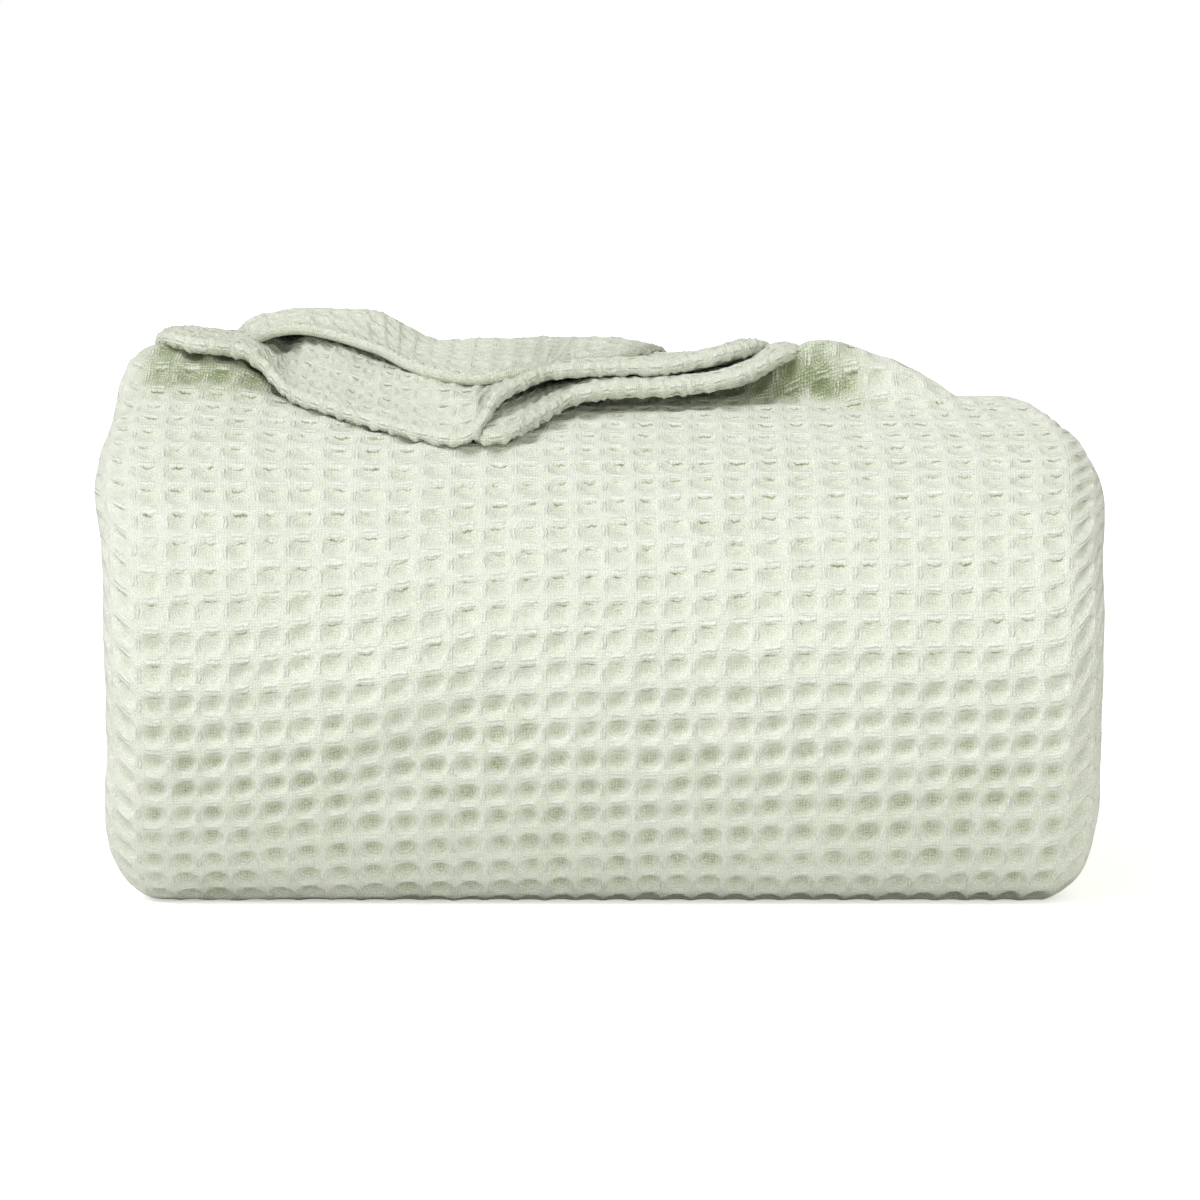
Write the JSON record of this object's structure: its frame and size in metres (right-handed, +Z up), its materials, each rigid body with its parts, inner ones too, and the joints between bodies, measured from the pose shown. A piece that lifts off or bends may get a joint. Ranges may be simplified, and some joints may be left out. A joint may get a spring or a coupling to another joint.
{
  "type": "folded waffle weave blanket",
  "caption": "Thick waffle weave cotton blanket folded into a soft rounded block, with one end pleated and tossed loosely over the top.",
  "frame": {"origin": "middle of the bounding box, on the floor plane the blanket rests on", "axes": "+X to the right along the rounded front fold, -Y out of that front fold towards the viewer, +Z up"},
  "size_m": [0.3982, 0.2903, 0.2353],
  "materials": {
    "cotton": "matt, soft, pale sage green waffle weave cotton"
  },
  "bodies": {
    "root": {"blanket": "cotton"}
  },
  "joints": []
}
